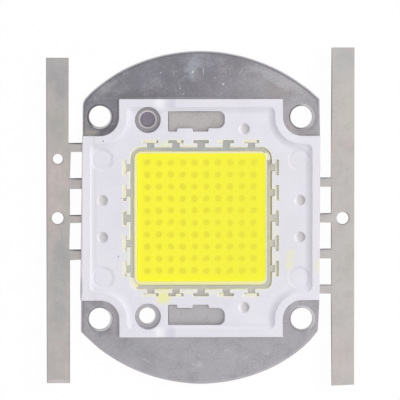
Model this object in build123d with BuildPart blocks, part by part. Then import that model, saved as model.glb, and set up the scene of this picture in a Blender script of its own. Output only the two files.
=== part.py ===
from build123d import *
import os

# High-power LED module, in millimetres.
# The origin is the centre of the plate's underside. +Z points out of the lit face, +Y to the
# edge with the blind locating pit, and the contact strips lie along the -X and +X sides.

# Plate
plate_diameter = 56.0
plate_width = 40.0
plate_thickness = 2.0
plate_corner_radius = 0.5
screw_pitch = 34.0
screw_hole_diameter = 4.0
locator_x = -9.0
locator_y = 16.5
locator_hole_diameter = 2.8
locator_pit_diameter = 2.5
locator_pit_depth = 0.7

# Chips and their wires, in a square field
chips_per_side = 10
chip_pitch = 2.0
chip_width = 1.1
chip_thickness = 0.15
wire_width = 0.06
wire_inset = 0.2
bond_gap = 0.02
chip_bow_height = 0.5
bar_bow_height = 0.2

# Silicone over the chips, and the bead round it
field_margin = 0.35
well_ledge = 0.4
bond_ledge = 0.4
dam_width = 0.55
dam_height = 0.42
dam_outer_radius = 1.2
dam_inner_radius = 0.6
fill_below_dam = 0.04

# Window in the frame, with its T-shaped notches
dam_to_window = 0.7
window_corner_radius = 1.4
notch_count = 5
notch_pitch = 4.25
notch_stem_width = 1.2
notch_stem_length = 0.65
notch_cap_width = 2.6
notch_cap_depth = 0.5

# Contacts, stamped from strip
lead_rise = 0.7
lead_thickness = 0.4
notch_lap = 0.5
tab_pitch = 6.0
tab_count = 4
tab_width = 1.5
strip_gap = 2.1
strip_width = 3.9
left_strip_top = 27.0
left_strip_bottom = 27.95
right_strip_top = 28.7
right_strip_bottom = 28.3
pilot_hole_diameter = 2.0
second_pilot_diameter = 1.65
second_pilot_y = 9.9

# Frame
frame_height = 2.0
screw_land_radius = 3.2
rim_width = 1.25
field_depth = 0.42
rim_slope_angle = 25.0
side_mark_x = 16.6

# Studs of the frame, moulded through square holes in the plate
stud_y = 9.95
stud_width = 2.2

# Slots in the frame, one near each end of the plate, mirror images of each other
slot_wall = 0.95
slot_height = 3.4
slot_left_x = -5.55
slot_right_x = 4.0
slot_end_radius = 1.35
lug_height = 0.55
lug_slope = 0.3
first_lug_left_x = -4.15
first_lug_right_x = -1.55
second_lug_left_x = 1.35

# Small round features of the frame
locator_opening_diameter = 4.4
dimple_diameter = 1.8
dimple_depth = 0.38
side_dimple_top_y = 3.0
side_dimple_bottom_y = -3.2
end_dimple_x = 7.3
end_dimple_y = 15.0

# Levels, from the plate's underside up
plate_top = plate_thickness
chip_top = plate_top + chip_thickness
lead_bottom = plate_top + lead_rise
lead_top = lead_bottom + lead_thickness
fill_top = lead_top + dam_height - fill_below_dam
frame_top = plate_top + frame_height
field_top = frame_top - field_depth

# Half widths, from the chips outwards
first_chip = chip_pitch * (chips_per_side - 1) / 2
well_edge = first_chip + chip_width / 2 + field_margin
bar_inner = well_edge + well_ledge
fill_edge = bar_inner + bond_ledge
dam_outer = fill_edge + dam_width
window_edge = dam_outer + dam_to_window
notch_outer = window_edge + notch_stem_length + notch_cap_depth
bar_outer = notch_outer + notch_lap
slot_inner = bar_outer + slot_wall
slot_outer = slot_inner + slot_height
strip_inner = plate_width / 2 + strip_gap
strip_outer = strip_inner + strip_width
land_edge = screw_pitch / 2 - screw_land_radius

# Radius that the walls beside it limit
slot_round = min(slot_end_radius, 0.49 * (slot_height - lug_height))

# Patterns
screw_places = GridLocations(screw_pitch, screw_pitch, 2, 2)
stud_places = GridLocations(2 * side_mark_x, 2 * stud_y, 2, 2)
chip_steps = [first_chip - chip_pitch * number for number in range(chips_per_side)]

os.makedirs("parts", exist_ok=True)

# Plate: a disc with two flats
with BuildPart() as base_plate:
    with BuildSketch() as plate_outline:
        Circle(plate_diameter / 2)
        Rectangle(plate_width, plate_diameter, mode=Mode.INTERSECT)
        fillet(plate_outline.vertices(), plate_corner_radius)
    extrude(amount=plate_thickness)
    with BuildSketch(Plane.XY.offset(plate_top)):
        with screw_places:
            Circle(screw_hole_diameter / 2)
        with Locations((locator_x, -locator_y)):
            Circle(locator_hole_diameter / 2)
    extrude(amount=-plate_thickness, mode=Mode.SUBTRACT)
    with BuildSketch(Plane.XY.offset(plate_top)):
        with Locations((locator_x, locator_y)):
            Circle(locator_pit_diameter / 2)
    extrude(amount=-locator_pit_depth, mode=Mode.SUBTRACT)
    with stud_places:
        Box(
            stud_width,
            stud_width,
            plate_thickness,
            align=(Align.CENTER, Align.CENTER, Align.MIN),
            mode=Mode.SUBTRACT,
        )
base_plate.part.label = "base_plate"
export_step(base_plate.part, "parts/base_plate.step")


# Contacts: an L-shaped bar along two sides of the window, four tabs, and the strip that they
# were stamped with. The left one is the right one turned half round, with its own cut ends.
def make_leadframe(plane, strip_low, strip_high, pilot_holes):
    with BuildPart() as leadframe:
        with BuildSketch(plane):
            with Locations((bar_outer, -bar_outer)):
                Rectangle(bar_outer - bar_inner, bar_outer + well_edge, align=(Align.MAX, Align.MIN))
                Rectangle(bar_outer + well_edge, bar_outer - bar_inner, align=(Align.MAX, Align.MIN))
            for number in range(tab_count):
                with Locations((bar_inner, tab_pitch * (1 - number))):
                    Rectangle(strip_outer - bar_inner, tab_width, align=(Align.MIN, Align.CENTER))
            with Locations((strip_inner, -strip_low)):
                Rectangle(strip_width, strip_low + strip_high, align=Align.MIN)
            for hole_y, hole_diameter in pilot_holes:
                with Locations((strip_inner + strip_width / 2, hole_y)):
                    Circle(hole_diameter / 2, mode=Mode.SUBTRACT)
        extrude(amount=lead_thickness)
    return leadframe


lead_plane = Plane.XY.offset(lead_bottom)
right_leadframe = make_leadframe(
    lead_plane,
    right_strip_bottom,
    right_strip_top,
    [(0, pilot_hole_diameter)],
)
right_leadframe.part.label = "right_leadframe"
export_step(right_leadframe.part, "parts/right_leadframe.step")

left_leadframe = make_leadframe(
    lead_plane.rotated((0, 0, 180)),
    left_strip_top,
    left_strip_bottom,
    [(0, pilot_hole_diameter), (-second_pilot_y, second_pilot_diameter)],
)
left_leadframe.part.label = "left_leadframe"
export_step(left_leadframe.part, "parts/left_leadframe.step")

# Frame: moulded on the plate and round the contacts, with its studs down through the plate
with BuildPart() as moulded_frame:
    with BuildSketch(Plane.XY.offset(plate_top)) as frame_outline:
        Rectangle(plate_width, plate_width)
        with GridLocations(plate_width, plate_width, 2, 2):
            Rectangle(plate_width - 2 * land_edge, plate_width - 2 * land_edge, mode=Mode.SUBTRACT)
        fillet(frame_outline.vertices().sort_by_distance((0, 0, 0))[:4], screw_land_radius)
    extrude(amount=frame_height)
    # The field is sunk inside the rim, and meets it in a shallow slope
    with BuildSketch(Plane.XY.offset(frame_top)):
        add(frame_outline.sketch_local)
        offset(amount=-rim_width, kind=Kind.INTERSECTION)
    extrude(amount=-field_depth, taper=90 - rim_slope_angle, mode=Mode.SUBTRACT)
    # The window and its notches are open down to the contacts
    with BuildSketch(Plane.XY.offset(lead_top)):
        RectangleRounded(2 * window_edge, 2 * window_edge, window_corner_radius)
        with PolarLocations(notch_outer, 4):
            with GridLocations(0, notch_pitch, 1, notch_count):
                Rectangle(notch_cap_depth, notch_cap_width, align=(Align.MAX, Align.CENTER))
                Rectangle(notch_outer - dam_outer, notch_stem_width, align=(Align.MAX, Align.CENTER))
    extrude(amount=frame_height, mode=Mode.SUBTRACT)
    # The well, the slots and the locator openings are open down to the plate
    with BuildSketch(Plane.XY.offset(plate_top)):
        Rectangle(2 * well_edge, 2 * well_edge)
    extrude(amount=frame_height, mode=Mode.SUBTRACT)
    with BuildSketch(Plane.XY.offset(plate_top)) as slots:
        with BuildLine():
            Polyline(
                (slot_left_x, slot_outer),
                (slot_left_x, slot_inner),
                (first_lug_left_x - lug_slope, slot_inner),
                (first_lug_left_x, slot_inner + lug_height),
                (first_lug_right_x, slot_inner + lug_height),
                (first_lug_right_x + lug_slope, slot_inner),
                (second_lug_left_x - lug_slope, slot_inner),
                (second_lug_left_x, slot_inner + lug_height),
                (slot_right_x, slot_inner + lug_height),
                (slot_right_x, slot_outer),
                close=True,
            )
        make_face()
        fillet(slots.vertices().sort_by(Axis.X)[-2:], slot_round)
        mirror(about=Plane.XZ)
        with Locations((locator_x, locator_y), (locator_x, -locator_y)):
            Circle(locator_opening_diameter / 2)
    extrude(amount=frame_height, mode=Mode.SUBTRACT)
    dimple_places = [(end_dimple_x, end_dimple_y), (end_dimple_x, -end_dimple_y)]
    for side in (-side_mark_x, side_mark_x):
        dimple_places += [(side, side_dimple_top_y), (side, side_dimple_bottom_y)]
    with Locations(*[(x, y, field_top) for x, y in dimple_places]):
        Cone(
            0,
            dimple_diameter / 2,
            dimple_depth,
            align=(Align.CENTER, Align.CENTER, Align.MAX),
            mode=Mode.SUBTRACT,
        )
    # The studs end flush with the plate's underside
    with stud_places:
        Box(stud_width, stud_width, plate_thickness, align=(Align.CENTER, Align.CENTER, Align.MIN))
    add([left_leadframe.part, right_leadframe.part], mode=Mode.SUBTRACT)
moulded_frame.part.label = "moulded_frame"
export_step(moulded_frame.part, "parts/moulded_frame.step")

# Silicone bead on the contact bars
with BuildPart() as silicone_dam:
    with BuildSketch(Plane.XY.offset(lead_top)):
        RectangleRounded(2 * dam_outer, 2 * dam_outer, dam_outer_radius)
        RectangleRounded(2 * fill_edge, 2 * fill_edge, dam_inner_radius, mode=Mode.SUBTRACT)
    extrude(amount=dam_height)
silicone_dam.part.label = "silicone_dam"
export_step(silicone_dam.part, "parts/silicone_dam.step")

# Chips, glued to the plate, one node for each row
chip_row_parts = []
for number, row_y in enumerate(chip_steps, start=1):
    with BuildPart() as chip_row:
        with BuildSketch(Plane.XY.offset(plate_top)):
            with Locations(*[(chip_x, row_y) for chip_x in chip_steps]):
                Rectangle(chip_width, chip_width)
        extrude(amount=chip_thickness)
    chip_row.part.label = f"die_row_{number:02d}"
    chip_row_parts.append(chip_row.part)
    export_step(chip_row.part, f"parts/die_row_{number:02d}.step")

# Bond wires. In a row they run from one contact bar over the ten chips to the other bar, each in
# a bow that thins to a point just over its two pads.
chip_pad = chip_width / 2 - wire_inset
bar_pad = fill_edge - bond_ledge / 2
chip_pad_level = chip_top + bond_gap
bar_pad_level = lead_top + bond_gap
bows = [
    (chip_x + chip_pad, chip_pad_level, chip_x + chip_pitch - chip_pad, chip_pad_level, chip_bow_height)
    for chip_x in chip_steps[1:]
]
bows.append((-bar_pad, bar_pad_level, -first_chip - chip_pad, chip_pad_level, bar_bow_height))
bows.append((first_chip + chip_pad, chip_pad_level, bar_pad, bar_pad_level, bar_bow_height))
wire_row_parts = []
for number, row_y in enumerate(chip_steps, start=1):
    with BuildPart() as wire_row:
        with BuildSketch(Plane.XZ.offset(-row_y)):
            for start_x, start_z, end_x, end_z, bow_height in bows:
                middle_x = (start_x + end_x) / 2
                bow_top = max(start_z, end_z) + bow_height
                with BuildLine():
                    Polyline(
                        (start_x, start_z),
                        (middle_x, bow_top - wire_width),
                        (end_x, end_z),
                        (middle_x, bow_top),
                        close=True,
                    )
                make_face()
        extrude(amount=wire_width / 2, both=True)
    wire_row.part.label = f"bond_wires_row_{number:02d}"
    wire_row_parts.append(wire_row.part)
    export_step(wire_row.part, f"parts/bond_wires_row_{number:02d}.step")

# Phosphor-loaded silicone, poured round the chips and wires up to just under the bead's top
with BuildPart() as phosphor_fill:
    with BuildSketch(Plane.XY.offset(plate_top)):
        Rectangle(2 * well_edge, 2 * well_edge)
    extrude(amount=lead_top - plate_top)
    with BuildSketch(Plane.XY.offset(lead_top)):
        RectangleRounded(2 * fill_edge, 2 * fill_edge, dam_inner_radius)
    extrude(amount=fill_top - lead_top)
    add(chip_row_parts + wire_row_parts, mode=Mode.SUBTRACT)
phosphor_fill.part.label = "phosphor_fill"
export_step(phosphor_fill.part, "parts/phosphor_fill.step")
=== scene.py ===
import math
import random

import bpy
import numpy as np
from bpy.props import FloatProperty, FloatVectorProperty, PointerProperty
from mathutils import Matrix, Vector
from mathutils.geometry import delaunay_2d_cdt


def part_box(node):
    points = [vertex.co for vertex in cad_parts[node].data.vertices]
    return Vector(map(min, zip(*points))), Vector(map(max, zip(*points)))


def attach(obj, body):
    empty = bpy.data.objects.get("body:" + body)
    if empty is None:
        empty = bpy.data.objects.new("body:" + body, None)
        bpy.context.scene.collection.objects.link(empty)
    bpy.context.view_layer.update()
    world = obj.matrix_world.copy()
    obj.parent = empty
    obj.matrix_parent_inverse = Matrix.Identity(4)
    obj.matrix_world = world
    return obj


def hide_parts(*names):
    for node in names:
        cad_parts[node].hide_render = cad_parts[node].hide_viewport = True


bl_info = {
    "name": "LED Module",
    "version": (1, 0, 0),
    "blender": (4, 5, 0),
    "location": "3D View > Sidebar > LED Module",
    "description": "Moulded frame, stamped contacts, plated base and silicone of a chip-on-board LED module",
    "category": "Object",
}

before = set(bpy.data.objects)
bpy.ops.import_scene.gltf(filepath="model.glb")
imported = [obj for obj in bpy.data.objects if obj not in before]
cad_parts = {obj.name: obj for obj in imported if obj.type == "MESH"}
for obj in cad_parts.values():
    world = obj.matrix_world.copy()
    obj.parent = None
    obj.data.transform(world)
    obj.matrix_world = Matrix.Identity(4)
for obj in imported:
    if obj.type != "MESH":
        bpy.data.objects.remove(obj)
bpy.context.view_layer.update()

# Sizes in the functions are in millimetres, and the meshes and the settings in metres
MM = 0.001
PLATE_LOW, PLATE_HIGH = (corner * 1000 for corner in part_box("base_plate"))
_, FRAME_HIGH = (corner * 1000 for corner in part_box("moulded_frame"))
RIGHT_LOW, RIGHT_HIGH = (corner * 1000 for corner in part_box("right_leadframe"))
_, DAM_HIGH = (corner * 1000 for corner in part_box("silicone_dam"))
FILL_LOW, FILL_HIGH = (corner * 1000 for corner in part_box("phosphor_fill"))
LEAD_BOTTOM, LEAD_TOP = RIGHT_LOW.z, RIGHT_HIGH.z


# Outlines


def rounded(corners, steps):
    """A closed outline through (x, y, radius) corners, each rounded to its own radius."""
    line = []
    for number, (x, y, radius) in enumerate(corners):
        here = Vector((x, y))
        if radius <= 0:
            line.append((x, y))
            continue
        to_last = (Vector(corners[number - 1][:2]) - here).normalized()
        to_next = (Vector(corners[(number + 1) % len(corners)][:2]) - here).normalized()
        half = to_last.angle(to_next) / 2
        centre = here + (to_last + to_next).normalized() * radius / math.sin(half)
        start = here + to_last * radius / math.tan(half) - centre
        end = here + to_next * radius / math.tan(half) - centre
        first = math.atan2(start.y, start.x)
        turn = (math.atan2(end.y, end.x) - first + math.pi) % (2 * math.pi) - math.pi
        count = max(2, round(abs(turn) / math.radians(90) * steps))
        for step in range(count + 1):
            angle = first + turn * step / count
            line.append((centre.x + radius * math.cos(angle), centre.y + radius * math.sin(angle)))
    return line


def circle(x, y, radius, count=48):
    """A closed circle."""
    angles = [2 * math.pi * step / count for step in range(count)]
    return [(x + radius * math.cos(angle), y + radius * math.sin(angle)) for angle in angles]


def square(x, y, half):
    """A closed square round a point."""
    return [(x - half, y - half), (x + half, y - half), (x + half, y + half), (x - half, y + half)]


def grown(line, distance):
    """The outline moved outwards by a distance, or inwards if it is negative."""
    here = np.array(line, float)
    last, following = np.roll(here, 1, 0), np.roll(here, -1, 0)
    area = np.sum(here[:, 0] * following[:, 1] - here[:, 1] * following[:, 0])
    normals = []
    for step in (here - last, following - here):
        step = step / np.linalg.norm(step, axis=1)[:, None]
        normals.append(np.stack([step[:, 1], -step[:, 0]], 1))
    mitre = normals[0] + normals[1]
    mitre = mitre / np.linalg.norm(mitre, axis=1)[:, None]
    stretch = np.minimum(1 / np.maximum(np.sum(mitre * normals[0], 1), 0.1), 2)
    moved = here + math.copysign(distance, distance * area) * mitre * stretch[:, None]
    return [tuple(point) for point in moved]


def within(line, x, y):
    """Which of the points lie inside the closed outline."""
    found = np.zeros(len(x), bool)
    for (ax, ay), (bx, by) in zip(line, line[1:] + line[:1]):
        if ay != by:
            crosses = (ay > y) != (by > y)
            found ^= crosses & (x < (bx - ax) * (y - ay) / (by - ay) + ax)
    return found


def between(line, holes, x, y):
    """Which of the points lie inside the closed outline and outside all its holes."""
    found = within(line, x, y)
    for hole in holes:
        found &= ~within(hole, x, y)
    return found


def away(lines, x, y):
    """Each point's distance to the nearest of the closed outlines."""
    nearest = np.full(len(x), 1e6)
    for line in lines:
        for (ax, ay), (bx, by) in zip(line, line[1:] + line[:1]):
            dx, dy = bx - ax, by - ay
            along = np.clip(((x - ax) * dx + (y - ay) * dy) / max(dx * dx + dy * dy, 1e-12), 0, 1)
            nearest = np.minimum(nearest, np.hypot(x - ax - along * dx, y - ay - along * dy))
    return nearest


# Where the outlines along a rounded edge lie, as shares of its radius
ROUNDING = (0.076, 0.293, 0.617, 1.0)


def edge_rings(line, radius):
    """The outline and four more along its rounded edge, outwards or, for a radius below 0, inwards."""
    return [line] + [grown(line, radius * share) for share in ROUNDING]


def edge_drop(distance, radius):
    """How far a rounded edge has fallen at a distance from its outline."""
    inset = np.clip(radius - distance, 0, radius)
    return radius - np.sqrt(np.maximum(radius**2 - inset**2, 0))


def read_off(value, pairs):
    """The second number of (place, number) pairs at a value of the first, on straight lines between them."""
    return np.interp(value, *zip(*pairs))


def askew(line, left, right=((0, 0),)):
    """The outline with its two flat sides moved by small amounts in X, given as (y, shift) pairs."""
    here = np.array(line, float)
    for side, shifts in ((-1, left), (1, right)):
        share = np.clip((side * here[:, 0] - 18.5) / 1.5, 0, 1)
        here[:, 0] += share * read_off(here[:, 1], shifts)
    return [tuple(point) for point in here]


def drawn_in(points):
    """Points of the moulding and the contacts, drawn in to the left as the moulding shrank."""
    return [(x + float(read_off(x, [(-14, 0), (14, -0.12), (20, 0)])), y, z) for x, y, z in points]


def smooth_step(value):
    """0 below 0, 1 above 1, and a smooth rise between."""
    value = np.clip(value, 0, 1)
    return value * value * (3 - 2 * value)


# Meshes


def add_object(name, data):
    """Puts an object into the scene."""
    made = bpy.data.objects.new(name, data)
    bpy.context.scene.collection.objects.link(made)
    return made


def add_piece(name, points, faces, material, nodes=(), sharp=32):
    """Makes an object of points in millimetres, which rides on the module and stands for CAD nodes."""
    mesh = bpy.data.meshes.new(name)
    mesh.from_pydata([(x * MM, y * MM, z * MM) for x, y, z in points], [], faces)
    mesh.validate()
    mesh.shade_smooth()
    mesh.set_sharp_from_angle(angle=math.radians(sharp))
    mesh.materials.append(material)
    piece = add_object(name, mesh)
    piece.modifiers.new("Even shading", "WEIGHTED_NORMAL").keep_sharp = True
    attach(piece, "root")
    if nodes:
        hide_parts(*nodes)
    return piece


def layered(lines, heights, solid_at):
    """Points and faces of a closed solid built of flat layers.

    The solid's edges follow the closed outlines. heights has a number or a function of x and y for
    each face between layers, from the lowest up, and solid_at(x, y) gives a row for each layer.
    """
    points, edges = [], []
    for line in lines:
        first = len(points)
        points += [Vector(point) for point in line]
        edges += [(first + step, first + (step + 1) % len(line)) for step in range(len(line))]
    flat = delaunay_2d_cdt(points, edges, [], 0, 1e-5)
    places = np.array([tuple(place) for place in flat[0]])
    corners = np.array(flat[2])
    middles = places[corners].mean(1)
    solid = np.array(solid_at(middles[:, 0], middles[:, 1]), bool)
    levels = [
        np.broadcast_to(height(places[:, 0], places[:, 1]) if callable(height) else height, len(places))
        for height in heights
    ]
    numbers, made, faces = {}, [], []

    def at(place, level):
        key = (place, level)
        if key not in numbers:
            numbers[key] = len(made)
            made.append((places[place][0], places[place][1], float(levels[level][place])))
        return numbers[key]

    layers = len(solid)
    beside = {}
    for number, corner in enumerate(corners):
        a, b, c = (int(place) for place in corner)
        for layer in range(layers):
            if not solid[layer][number]:
                continue
            if layer == layers - 1 or not solid[layer + 1][number]:
                faces.append([at(place, layer + 1) for place in (a, b, c)])
            if layer == 0 or not solid[layer - 1][number]:
                faces.append([at(place, layer) for place in (c, b, a)])
        for start, end in ((a, b), (b, c), (c, a)):
            beside[(start, end)] = number
    for (start, end), number in beside.items():
        other = beside.get((end, start))
        for layer in range(layers):
            if solid[layer][number] and (other is None or not solid[layer][other]):
                low, high = layer, layer + 1
                faces.append([at(start, low), at(end, low), at(end, high), at(start, high)])
    return made, faces


# How thick silicone is at its edge, and how far it reaches into what it lies on
THIN_EDGE = 0.02
SUNK = 0.01


def heap(line, height, wide):
    """Points and faces of a low heap on the contacts, with an outline, a height and an edge width."""

    def top(x, y):
        rise = np.sqrt(1 - np.clip(1 - away([line], x, y) / wide, 0, 1) ** 2)
        return LEAD_TOP + THIN_EDGE + (height - THIN_EDGE) * rise

    return layered(edge_rings(line, -wide), [LEAD_TOP - SUNK, top], lambda x, y: [within(line, x, y)])


def joined(meshes):
    """The points and faces of several meshes as one."""
    points, faces = [], []
    for made, sides in meshes:
        faces += [[number + len(points) for number in side] for side in sides]
        points += made
    return points, faces


def plan(points):
    """The X and the Y of points."""
    return np.array([point[:2] for point in points]).T


def add_values(piece, name, values):
    """Gives each point of a piece a value that its material reads."""
    layer = piece.data.attributes.new(name, "FLOAT", "POINT")
    layer.data.foreach_set("value", np.asarray(values, np.float32))


# Nodes


class Value:
    """A node's output, which can be added, multiplied and so on like a number."""

    def __init__(self, socket):
        self.socket, self.tree = socket, socket.id_data

    def __add__(self, other):
        return calc("ADD", self, other)

    def __sub__(self, other):
        return calc("SUBTRACT", self, other)

    def __mul__(self, other):
        return calc("MULTIPLY", self, other)

    def __truediv__(self, other):
        return calc("DIVIDE", self, other)

    def __rtruediv__(self, other):
        return calc("DIVIDE", other, self)

    def __rsub__(self, other):
        return calc("SUBTRACT", other, self)

    def __abs__(self):
        return calc("ABSOLUTE", self)


def fill_in(node, inputs):
    """Sets a node's inputs, by name or number, to numbers, colours or other nodes' outputs."""
    for key, value in dict(inputs).items():
        if isinstance(value, Value):
            node.id_data.links.new(value.socket, node.inputs[key])
        else:
            node.inputs[key].default_value = value


def add_node(tree, kind, inputs=(), output=0, **settings):
    """Adds a shader node with these inputs and settings, and gives one of its outputs."""
    node = tree.nodes.new(kind)
    for key, value in settings.items():
        setattr(node, key, value)
    fill_in(node, inputs)
    return Value(node.outputs[output])


def outputs(value):
    """All the outputs of the node that a value comes from, by name."""
    return {socket.name: Value(socket) for socket in value.socket.node.outputs}


def calc(operation, *values):
    """The result of a Math node."""
    tree = next(value.tree for value in values if isinstance(value, Value))
    return add_node(tree, "ShaderNodeMath", dict(enumerate(values)), operation=operation)


def vector_math(operation, *values, output=0):
    """The result of a Vector Math node."""
    inputs = dict(enumerate(values))
    return add_node(values[0].tree, "ShaderNodeVectorMath", inputs, output, operation=operation)


def highest(value, *others):
    """The highest of some values."""
    for other in others:
        value = calc("MAXIMUM", value, other)
    return value


# A Mix node takes numbers at 2 and 3 and gives one at 0, and colours at 6 and 7 and gives one at 2


def mix(share, first, second):
    """The number between two others."""
    return add_node(share.tree, "ShaderNodeMix", {0: share, 2: first, 3: second})


def blend(share, first, second):
    """The colour between two others."""
    return add_node(share.tree, "ShaderNodeMix", {0: share, 6: first, 7: second}, 2, data_type="RGBA")


def ramp(value, low, high, start=0, end=1):
    """A value's smooth change from start to end as it goes from low to high."""
    inputs = {"Value": value, "From Min": low, "From Max": high, "To Min": start, "To Max": end}
    return add_node(value.tree, "ShaderNodeMapRange", inputs, interpolation_type="SMOOTHSTEP")


def noise(place, **inputs):
    """A noise between 0 and 1."""
    return add_node(place.tree, "ShaderNodeTexNoise", {"Vector": place, **inputs}, "Fac")


def axes(vector):
    """The X, Y and Z of a vector."""
    return list(outputs(add_node(vector.tree, "ShaderNodeSeparateXYZ", {0: vector})).values())


def attribute(tree, name):
    """A value that a piece's points carry."""
    return add_node(tree, "ShaderNodeAttribute", output="Fac", attribute_name=name)


def colour(red, green, blue):
    """A colour written as it shows on the screen, from 0 to 255."""
    parts = [part / 255 for part in (red, green, blue)]
    linear = [part / 12.92 if part <= 0.04045 else ((part + 0.055) / 1.055) ** 2.4 for part in parts]
    return (*linear, 1.0)


def opaque(shade):
    """A settings colour with its alpha."""
    return (*shade, 1.0)


# Node groups that the materials share


def mottle(place, size, fine_size, fine_share):
    """Two sizes of soft cloudiness, as on plating and in silicone."""
    clouds = [noise(place, Scale=1.0 / each, Detail=3.0, Roughness=0.55) for each in (size, fine_size)]
    return ramp(mix(fine_share, *clouds), 0.3, 0.7)


def rolled_grain(place, angle, width, length):
    """Straight grain as rolling and polishing leave it, along one direction in the sheet."""
    inputs = {"Vector": place, "Angle": angle}
    x, y, z = axes(add_node(place.tree, "ShaderNodeVectorRotate", inputs, rotation_type="Z_AXIS"))
    stretched = add_node(place.tree, "ShaderNodeCombineXYZ", {0: x / width, 1: y / length, 2: z})
    return ramp(noise(stretched, Scale=1.0, Detail=4.0), 0.25, 0.75)


def patch(place, centre, reach, angle, softness, raggedness, rag_size):
    """A patch round a place, with a soft, ragged edge: stains, smears, specks and scratches, and also painted
    shade, painted shadows and painted highlights.
    """
    inputs = {"Vector": vector_math("SUBTRACT", place, centre), "Angle": angle}
    turned_back = add_node(place.tree, "ShaderNodeVectorRotate", inputs, rotation_type="Z_AXIS")
    x, y, _ = axes(vector_math("DIVIDE", turned_back, reach))
    far = vector_math("LENGTH", add_node(place.tree, "ShaderNodeCombineXYZ", {0: x, 1: y}), output="Value")
    ragged = noise(place, Scale=1.0 / rag_size, Detail=3.0) - 0.5
    return ramp(calc("MULTIPLY_ADD", ragged, raggedness * 4.0, far), 1.0 - softness, softness + 1.0, 1, 0)


def arc(place, centre, radius, width, direction, spread):
    """A thin arc round a centre, strongest in one direction: painted shade and painted highlights along
    rounded edges and hole mouths, and dark rings round the contacts' pilot holes.
    """
    flat = vector_math("MULTIPLY", vector_math("SUBTRACT", place, centre), (1, 1, 0))
    far = vector_math("LENGTH", flat, output="Value")
    line = ramp(abs(far - radius) / width, 0.2, 1.0, 1, 0)
    facing = vector_math("DOT_PRODUCT", vector_math("NORMALIZE", flat), direction, output="Value")
    return line * ramp(facing, spread - 0.6, spread)


# Each group's maker, its sockets after Place with None for a vector, and what it puts out
GROUPS = {
    "Mottle": (mottle, {"Size": 4.0, "Fine size": 0.6, "Fine share": 0.35}, "Value"),
    "Rolled grain": (rolled_grain, {"Angle": 0.0, "Width": 0.12, "Length": 6.0}, "Value"),
    "Patch": (
        patch,
        {"Centre": None, "Reach": None, "Angle": 0.0, "Softness": 0.4, "Raggedness": 0.3, "Rag size": 0.5},
        "Mask",
    ),
    "Arc": (arc, {"Centre": None, "Radius": 1.0, "Width": 0.1, "Direction": None, "Spread": 0.5}, "Mask"),
}


def shared_group(name):
    """A node group, built on its first use."""
    if name in bpy.data.node_groups:
        return bpy.data.node_groups[name]
    maker, sockets, result = GROUPS[name]
    group = bpy.data.node_groups.new(name, "ShaderNodeTree")
    for socket, value in {"Place": None, **sockets}.items():
        kind = "NodeSocketVector" if value is None else "NodeSocketFloat"
        made = group.interface.new_socket(socket, in_out="INPUT", socket_type=kind)
        if value is not None:
            made.default_value = value
    group.interface.new_socket(result, in_out="OUTPUT", socket_type="NodeSocketFloat")
    # The input node's last output has no name: it is the empty one that Blender adds
    given = [Value(socket) for socket in group.nodes.new("NodeGroupInput").outputs if socket.name]
    fill_in(group.nodes.new("NodeGroupOutput"), {0: maker(*given)})
    return group


def use_group(name, place, **values):
    """The output of a node group in a material. Sockets are named with _ for a space."""
    node = place.tree.nodes.new("ShaderNodeGroup")
    node.node_tree = shared_group(name)
    fill_in(node, {"Place": place, **{key.replace("_", " "): value for key, value in values.items()}})
    return Value(node.outputs[0])


def add_arcs(place, tone, arcs):
    """Lays arcs over a colour, each as a row of PLATE_MOUTH_SHADE_AND_HIGHLIGHTS says."""
    for x, y, radius, width, angle, spread, *shade, strength in arcs:
        turn = math.radians(angle)
        aim = (math.cos(turn), math.sin(turn), 0)
        sizes = {"Radius": radius, "Width": width, "Spread": spread}
        mask = use_group("Arc", place, Centre=(x, y, 0), Direction=aim, **sizes)
        tone = blend(mask * strength, tone, colour(*shade))
    return tone


def add_patches(place, tone, patches):
    """Lays patches over a colour, each as a row of PLATE_STAINS_AND_PAINTED_LIGHT says."""
    for x, y, across, up, angle, *shade, strength, soft, ragged in patches:
        mask = use_group(
            "Patch",
            place,
            Centre=(x, y, 0),
            Reach=(across, up, 1),
            Angle=-math.radians(angle),
            Softness=soft,
            Raggedness=ragged,
            Rag_size=max(min(across, up), 0.15),
        )
        tone = blend(mask * strength, tone, colour(*shade))
    return tone


def new_material(name):
    """A node material with its Principled shader."""
    material = bpy.data.materials.new(name)
    material.use_nodes = True
    return material, material.node_tree.nodes["Principled BSDF"]


def surface(name):
    """A material, its shader and the place on the object in millimetres."""
    material, shader = new_material(name)
    there = add_node(shader.id_data, "ShaderNodeTexCoord", output="Object")
    place = add_node(shader.id_data, "ShaderNodeVectorMath", {0: there, "Scale": 1000.0}, operation="SCALE")
    return material, shader, place


def finish(shader, tone, roughness, relief=None, **numbers):
    """Gives a shader its colour, roughness, relief as (height, millimetres, strength) and other inputs."""
    inputs = {"Base Color": tone, "Roughness": roughness}
    if relief:
        height, distance, strength = relief
        bump = {"Height": height, "Distance": distance * MM, "Strength": strength}
        inputs["Normal"] = add_node(shader.id_data, "ShaderNodeBump", bump)
    fill_in(shader, inputs | {key.replace("_", " "): value for key, value in numbers.items()})
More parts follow.
